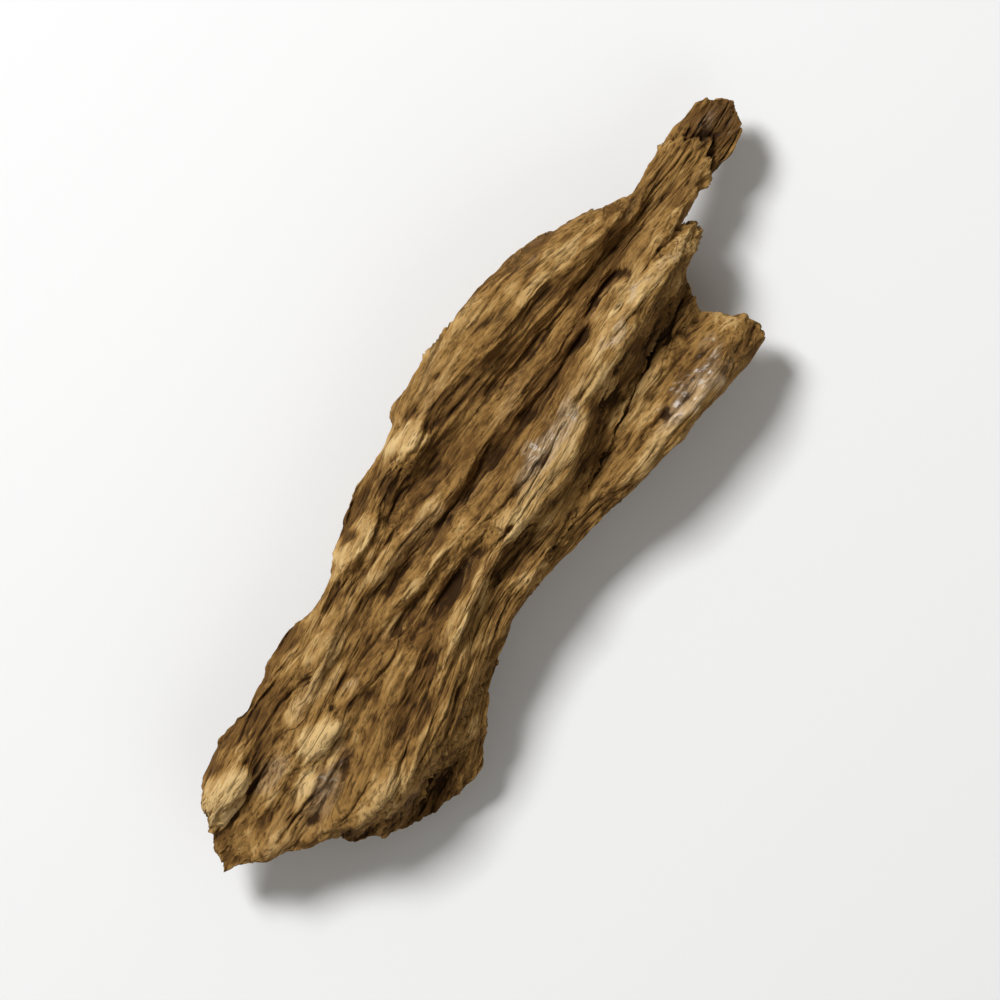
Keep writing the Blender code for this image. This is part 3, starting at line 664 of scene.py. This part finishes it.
class Material:
    """A material and the ways to add nodes to it."""

    def __init__(self, name):
        self.made = bpy.data.materials.new(name)
        self.made.use_nodes = True
        self.tree = self.made.node_tree
        self.tree.nodes.clear()

    def node(self, kind, settings, inputs, output=0):
        """Adds a node: its settings first, then the values or links of its sockets."""
        node = self.tree.nodes.new(kind)
        for name, value in settings.items():
            setattr(node, name, value)
        for name, value in inputs.items():
            if isinstance(value, Value):
                self.tree.links.new(value.socket, node.inputs[name])
            else:
                node.inputs[name].default_value = value
        return Value(self, node.outputs[output]) if node.outputs else None

    def known(self, name, output="Fac"):
        """A value kept on the mesh."""
        return self.node("ShaderNodeAttribute", {"attribute_name": name}, {}, output)

    def mix(self, share, first, second, way="MIX"):
        """Two colours mixed by a share, or blended in another way."""
        settings = {"data_type": "RGBA", "blend_type": way}
        return self.node("ShaderNodeMix", settings, {0: share, 6: first, 7: second}, 2)

    def paint_shade(self, share, colour, tint):
        """The colour darkened by a tint as painted shade, with its own lights and darks kept."""
        return self.mix(share, colour, tint, "MULTIPLY")

    def step(self, value, begins, full):
        """A soft step from 0 where it begins to 1 where it is full."""
        settings = {"interpolation_type": "SMOOTHSTEP"}
        inputs = {"Value": value, "From Min": begins, "From Max": full}
        return self.node("ShaderNodeMapRange", settings, inputs)

    def stretched(self, place, sizes, start):
        """The place measured in these sizes, in millimetres, from its own start."""
        scale = tuple(1 / size for size in sizes)
        settings = {"operation": "MULTIPLY_ADD"}
        return self.node("ShaderNodeVectorMath", settings, {0: place, 1: scale, 2: (start, start, start)})

    def grain_noise(self, place, long, wide, detail=2.0, roughness=0.5, start=0.0):
        """Noise drawn out along the grain, from 0 to 1."""
        where = self.stretched(place, (long, wide, wide), start)
        inputs = {"Vector": where, "Scale": 1.0, "Detail": detail, "Roughness": roughness}
        return self.node("ShaderNodeTexNoise", {}, inputs)

    def marks(self, place, long, wide, detail, roughness, start, begins, full):
        """Marks drawn out along the grain: 1 on a mark and 0 away from it."""
        return self.step(self.grain_noise(place, long, wide, detail, roughness, start), begins, full)

    def grain_lines(self, place, apart, wide, long, sway, start):
        """Thin broken lines along the grain: 1 on a line and 0 away from it."""
        settings = {"operation": "DOT_PRODUCT"}
        layers = (0.0, 1 / apart, LINE_LEAN / apart)
        across = self.node("ShaderNodeVectorMath", settings, {0: place, 1: layers}, 1)
        drift = sway * self.grain_noise(place, long, SWAY_GROUP * apart, start=start)
        away = self.node("ShaderNodeMath", {"operation": "PINGPONG"}, {0: across + drift, 1: 0.5})
        here = self.step(self.grain_noise(place, long / 2, 2 * apart, start=-start), 0.42, 0.58)
        return self.step(away, wide / apart, 0.0) * here

    def finished(self, sockets):
        """The material, shaded by a Principled shader with these values or links."""
        shader = self.node("ShaderNodeBsdfPrincipled", {}, sockets)
        self.node("ShaderNodeOutputMaterial", {}, {"Surface": shader})
        return self.made


def wood_material():
    """Dry split agarwood: golden, paler on its crests and dark in its grooves, partly by painted light and
    shade, with glossy greyish resin.

    The bare numbers are shares: how much each mark counts, and where a step begins and is full.
    """
    wood = Material("agarwood")
    grain = wood.known("grain", "Vector")
    slanted = wood.node("ShaderNodeVectorRotate", {"rotation_type": "Z_AXIS"}, {0: grain, 3: -WRINKLE_SLANT})
    fine, broad, strand = [wood.known(name) for name in ("fine", "broad", "strand")]
    resin, pale_and_lit, dark_and_shade = [wood.known(name) for name in ("resin", "pale_and_lit", "dark_and_shade")]

    veins, blotches = [wood.marks(grain, *form) for form in (VEINS, BLOTCHES)]
    mottles, streaks = [wood.marks(grain, *form) for form in (MOTTLES, STREAKS)]
    threads, specks, pores = [wood.marks(grain, *form) for form in (THREADS, SPECKS, PORES)]
    seams, hairs = [wood.grain_lines(grain, *form) for form in (SEAMS, HAIRS)]

    # Lightness: higher on crests and lower in hollows as painted light and shade, with pale and dark places
    # and the wood's own marks
    light = 0.28 * broad + 0.16 * fine + 0.1 * strand + 0.14 * streaks + 0.08 * threads + 0.12 * specks
    light = light + 0.12 * blotches + 0.12 * mottles + pale_and_lit * (0.25 + 0.15 * mottles)
    light = light - 0.27 * dark_and_shade + 0.06 * hairs - 0.175
    colour = BROWN
    for tone, begins, full in LIGHTER:
        colour = wood.mix(wood.step(light, begins, full), colour, tone)

    grey = wood.step(0.45 * veins + 0.9 * resin + 0.3 * blotches, 0.5, 1.2)
    # The resin follows the same lightness, so it is paler under painted light and darker under painted shade
    resin_colour = wood.mix(wood.step(light, 0.25, 0.95), DARK_RESIN, PALE_RESIN)
    # Painted glints on the resin, as pale flecks
    painted_glints = wood.marks(slanted, *PAINTED_GLINT_MARKS) * wood.step(resin, 0.45, 0.9)
    colour = wood.mix(0.55 * grey, colour, resin_colour)
    colour = wood.mix(0.5 * painted_glints, colour, PAINTED_GLINT)

    # Painted shade in the grooves and hollows, where the surface stands low
    deep = wood.step(0.75 * broad + 0.2 * fine - 0.12 * dark_and_shade + 0.1 * mottles + 0.12 * threads, 0.5, 0.18)
    cuts = wood.step(0.7 * threads + 0.3 * specks, 0.38, 0.1)
    colour = wood.paint_shade(0.95 * deep, colour, SHADE)
    for share in (0.4 * cuts, 0.6 * seams, 0.5 * pores):
        colour = wood.mix(share, colour, DARK)

    spots = wood.grain_noise(slanted, *GLINTS)
    gloss = wood.step(spots + 0.15 * fine, 0.58, 0.68) * wood.step(resin + 0.4 * grey, 0.3, 0.9)
    height = 0.5 * threads + 0.3 * specks + 0.2 * streaks + 0.3 * hairs
    height = height + 3.0 * resin * spots - seams - 0.6 * pores
    depth = {"Height": height, "Strength": 0.6, "Distance": BUMP_DEPTH * MM}
    return wood.finished({
        "Base Color": colour,
        "Roughness": 0.8 - 0.5 * gloss - 0.12 * grey + 0.1 * specks - 0.2 * painted_glints,
        "Normal": wood.node("ShaderNodeBump", {}, depth),
        "Coat Weight": 0.5 * gloss,
        "Coat Roughness": 0.3,
        "Specular IOR Level": 0.12,
    })


def floor_material():
    """Plain pale paint."""
    return Material("floor").finished({"Base Color": FLOOR_COLOUR, "Roughness": FLOOR_ROUGHNESS})


def lay_floor():
    """A wide plain floor, which isn't part of the chip."""
    half = FLOOR_SIDE / 2
    corners = [(-half, -half, 0), (half, -half, 0), (half, half, 0), (-half, half, 0)]
    mesh = bpy.data.meshes.new("floor")
    mesh.from_pydata(corners, [], [(0, 1, 2, 3)])
    mesh.materials.append(floor_material())
    floor = bpy.data.objects.new("floor", mesh)
    floor.location.z = -FLOOR_DROP * MM
    bpy.context.scene.collection.objects.link(floor)


def softbox(name, direction, distance, size, power):
    """A square light that shines on the chip from a direction."""
    light = bpy.data.lights.new(name, "AREA")
    light.size = size
    light.energy = power
    lamp = bpy.data.objects.new(name, light)
    towards = Vector(direction).normalized()
    lamp.location = towards * distance
    lamp.rotation_euler = towards.to_track_quat("Z", "Y").to_euler()
    bpy.context.scene.collection.objects.link(lamp)


def light_room():
    """A key light from the rounded long side, a weak fill from the other side and an even pale room."""
    softbox("key", KEY_FROM, KEY_DISTANCE, KEY_SIZE, KEY_POWER)
    softbox("fill", FILL_FROM, KEY_DISTANCE, FILL_SIZE, FILL_POWER)
    world = bpy.data.worlds.new("room")
    world.use_nodes = True
    world.node_tree.nodes["Background"].inputs["Color"].default_value = WORLD_COLOUR
    world.node_tree.nodes["Background"].inputs["Strength"].default_value = WORLD_LIGHT
    bpy.context.scene.world = world


def place_camera():
    """A camera that looks straight down, with the chip turned in the picture as it lies in the photograph."""
    camera = bpy.data.objects.new("camera", bpy.data.cameras.new("camera"))
    camera.data.lens = LENS
    camera.data.sensor_width = SENSOR
    camera.data.clip_start = MM
    low, high = cad_box
    middle = (low + high) / 2
    away = FRAME_SIDE * MM * LENS / SENSOR + high.z
    camera.matrix_world = Matrix.Translation((middle.x, middle.y, away)) @ Matrix.Rotation(-TURN, 4, "Z")
    bpy.context.scene.collection.objects.link(camera)
    bpy.context.scene.camera = camera


chip = torn_surface()
chip.data.materials.append(wood_material())
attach(chip, "root")
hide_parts(NODE)

lay_floor()
light_room()
place_camera()
bpy.context.scene.view_settings.view_transform = "Standard"
